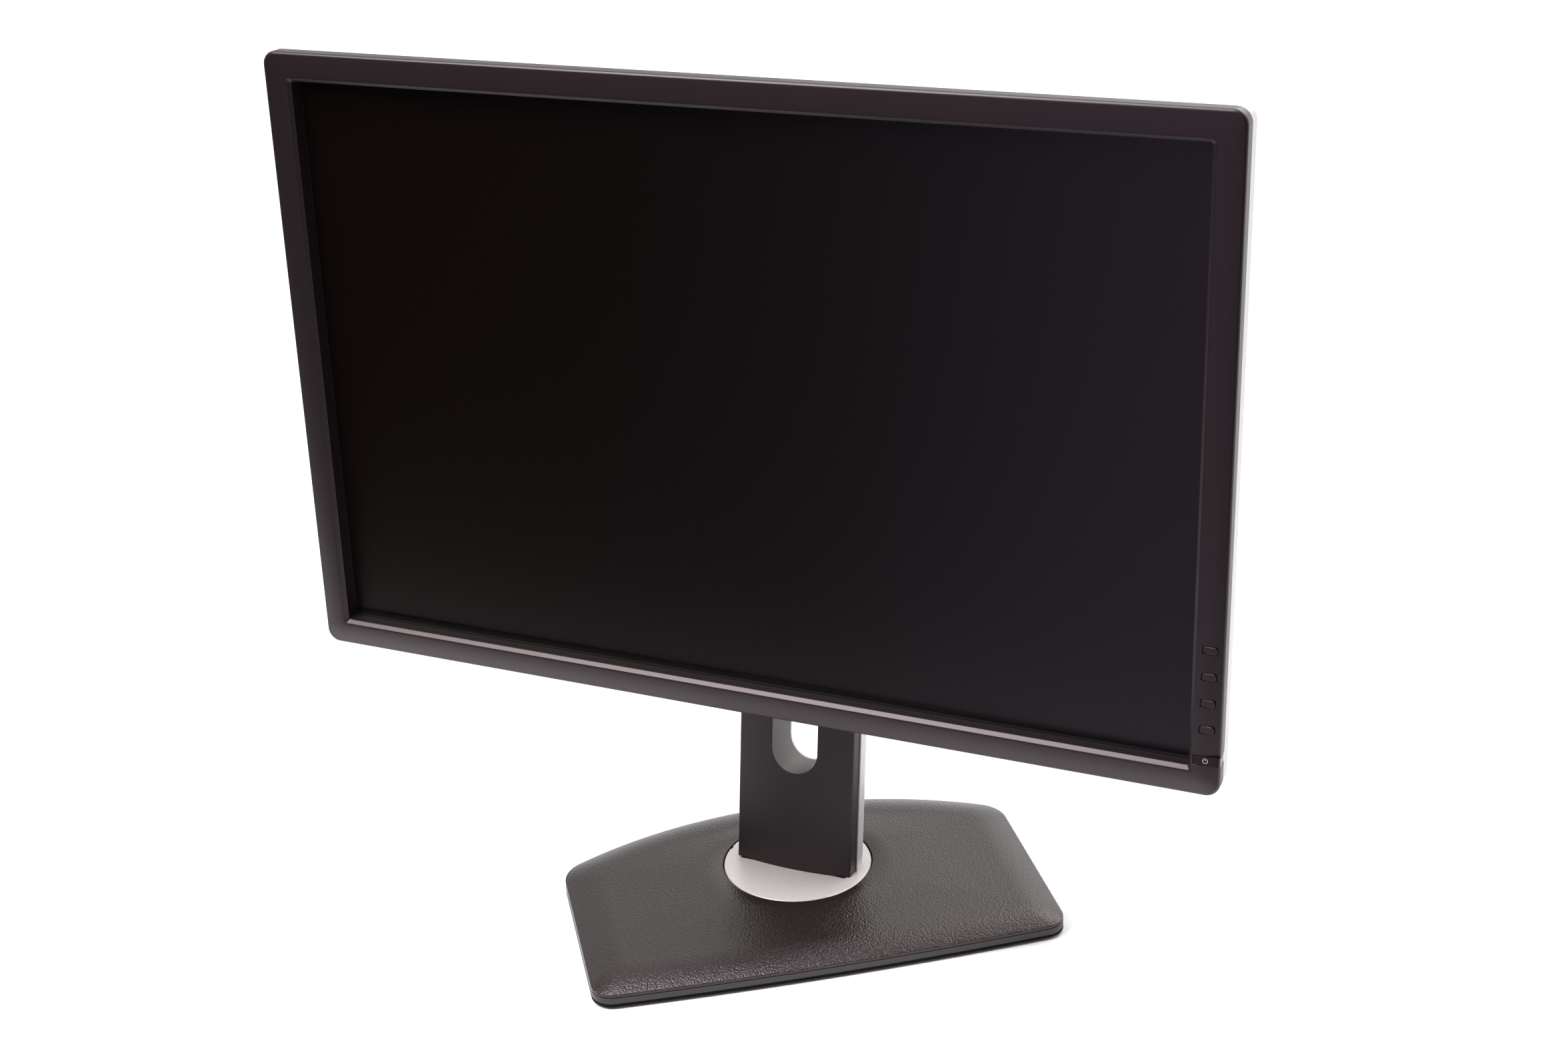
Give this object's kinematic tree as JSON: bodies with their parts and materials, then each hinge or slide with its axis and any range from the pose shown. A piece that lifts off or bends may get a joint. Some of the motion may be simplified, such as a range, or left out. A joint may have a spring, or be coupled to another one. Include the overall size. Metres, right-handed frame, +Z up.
{
  "type": "computer monitor",
  "caption": "Flat wide-screen desktop monitor in a black bezel, on a foot that swivels and a raked column that lifts, tilts and pivots the screen.",
  "frame": {"origin": "on the desk, on the swivel axis of the stand", "axes": "+X to the viewer's right along the screen's width, +Y away from the viewer, +Z up out of the desk; the screen leans back 1.76 degrees and the foot is turned 36.5 degrees about +Z"},
  "size_m": [0.556, 0.2739, 0.5169],
  "materials": {
    "rubber": "matt",
    "black_abs": "fine spark texture",
    "grained_abs": "fine leather grain",
    "silver_abs": "satin silver paint",
    "grey_abs": "satin",
    "plated_steel": "zinc plated",
    "black_paint": "satin powder coat",
    "acetal": "smooth",
    "chrome": "polished",
    "screen_film": "anti-glare film",
    "white_film": "matt",
    "acrylic": "clear, polished edges",
    "lamp_glass": "phosphor lined",
    "circuit_board": "solder mask",
    "black_parts": "moulded",
    "brass": "nickel over brass",
    "gloss_key": "gloss",
    "white_sign": "translucent"
  },
  "bodies": {
    "base": {"rubber_feet": "rubber", "base_bottom_tray": "black_abs", "base_steel_plate": "plated_steel", "base_top_cover": "grained_abs", "swivel_bush": "acetal"},
    "column": {"swivel_shaft": "plated_steel", "swivel_nut": "plated_steel", "swivel_washer": "plated_steel", "turntable_plate": "plated_steel", "turntable_disc": "silver_abs", "column_channel": "plated_steel", "column_front_cover": "black_abs", "column_rear_cover": "silver_abs", "cable_hole_liner": "grey_abs", "slide_rail_left": "plated_steel", "slide_rail_right": "plated_steel", "lift_cylinder": "black_paint", "column_top_cap": "black_abs", "column_screws": "plated_steel"},
    "carriage": {"carriage_plate": "plated_steel", "carriage_shoes": "acetal", "lift_rod": "chrome", "carriage_shroud": "black_abs", "hinge_bracket": "plated_steel", "hinge_shaft": "plated_steel", "hinge_washers": "plated_steel", "hinge_nuts": "plated_steel"},
    "tilt_head": {"tilt_yoke": "plated_steel", "pivot_shaft": "plated_steel", "pivot_retainer": "plated_steel", "pivot_washer": "acetal", "hinge_cover": "black_abs"},
    "head": {"pivot_plate": "black_paint", "front_bezel": "black_abs", "rear_cover": "silver_abs", "case_screws": "black_paint", "panel_frame": "black_paint", "lcd_cell": "screen_film", "diffuser_sheets": "white_film", "light_guide": "acrylic", "backlight_lamps": "lamp_glass", "panel_back_tray": "plated_steel", "chassis": "plated_steel", "board_shield": "plated_steel", "vesa_nuts": "plated_steel", "power_board": "circuit_board", "power_board_parts": "black_parts", "main_board": "circuit_board", "main_board_chips": "black_parts", "ac_inlet": "black_parts", "inlet_pins": "brass", "signal_sockets": "plated_steel", "key_board": "circuit_board"},
    "release_button": {"release_button": "silver_abs"},
    "power_key": {"power_key": "gloss_key", "power_key_sign": "white_sign"},
    "osd_key_1": {"osd_key_1": "black_abs"},
    "osd_key_2": {"osd_key_2": "black_abs"},
    "osd_key_3": {"osd_key_3": "black_abs"},
    "osd_key_4": {"osd_key_4": "black_abs"}
  },
  "joints": [
    {"name": "swivel", "type": "hinge", "parent": "base", "child": "column", "pos_m": [0, 0, 0.0165], "axis": [0, 0, 1], "range_deg": [-8.5, 81.5]},
    {"name": "height", "type": "slide", "parent": "column", "child": "carriage", "axis": [0, 0.1547, 0.988], "range_m": [-0.115, 0]},
    {"name": "tilt", "type": "hinge", "parent": "carriage", "child": "tilt_head", "pos_m": [0, 0.01821, 0.35178], "axis": [-1, 0, 0], "range_deg": [-6.76, 19.24]},
    {"name": "pivot", "type": "hinge", "parent": "tilt_head", "child": "head", "pos_m": [0, -0.01177, 0.3527], "axis": [0, 0.9995, -0.0307], "range_deg": [0, 90]},
    {"name": "release_press", "type": "slide", "parent": "head", "child": "release_button", "axis": [0, -0.9995, 0.0307], "range_m": [0, 0.003], "stiffness_N_per_m": 600, "springref_m": -0.001},
    {"name": "power_press", "type": "slide", "parent": "head", "child": "power_key", "axis": [0, 0.9995, -0.0307], "range_m": [0, 0.0006], "stiffness_N_per_m": 1500, "springref_m": -0.0004},
    {"name": "osd_press_1", "type": "slide", "parent": "head", "child": "osd_key_1", "axis": [0, 0.9995, -0.0307], "range_m": [0, 0.0006], "stiffness_N_per_m": 1500, "springref_m": -0.0004},
    {"name": "osd_press_2", "type": "slide", "parent": "head", "child": "osd_key_2", "axis": [0, 0.9995, -0.0307], "range_m": [0, 0.0006], "stiffness_N_per_m": 1500, "springref_m": -0.0004},
    {"name": "osd_press_3", "type": "slide", "parent": "head", "child": "osd_key_3", "axis": [0, 0.9995, -0.0307], "range_m": [0, 0.0006], "stiffness_N_per_m": 1500, "springref_m": -0.0004},
    {"name": "osd_press_4", "type": "slide", "parent": "head", "child": "osd_key_4", "axis": [0, 0.9995, -0.0307], "range_m": [0, 0.0006], "stiffness_N_per_m": 1500, "springref_m": -0.0004}
  ]
}
